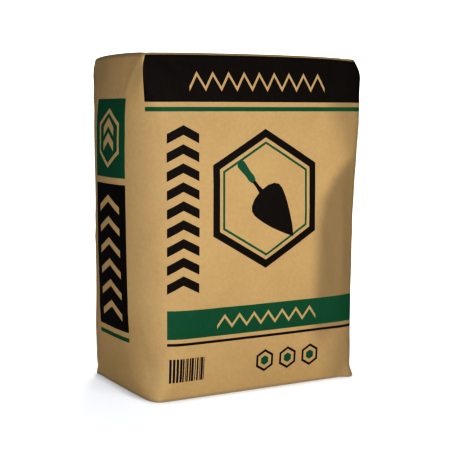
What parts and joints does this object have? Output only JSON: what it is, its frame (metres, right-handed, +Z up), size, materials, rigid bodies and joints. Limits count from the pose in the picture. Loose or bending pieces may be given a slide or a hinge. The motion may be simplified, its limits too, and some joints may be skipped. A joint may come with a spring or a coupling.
{
  "type": "cement bag",
  "caption": "Full block-bottom paper sack of cement powder, standing upright on its flat folded base, with a filling valve under the top patch.",
  "frame": {"origin": "on the floor, at the middle of the sack's bounding box", "axes": "+Z up the standing sack, +X to the right along its wide face, +Y from the printed front to the back"},
  "size_m": [0.3112, 0.1788, 0.41],
  "materials": {
    "kraft_paper": "matte brown kraft paper, printed near-black and dark green on the front and sides",
    "patch_paper": "matte brown kraft paper, pasted down, unprinted",
    "sleeve_paper": "matte pale kraft paper"
  },
  "bodies": {
    "root": {"filled_sack": "kraft_paper", "bottom_patch": "patch_paper", "top_patch": "patch_paper", "valve_sleeve": "sleeve_paper"}
  },
  "joints": []
}
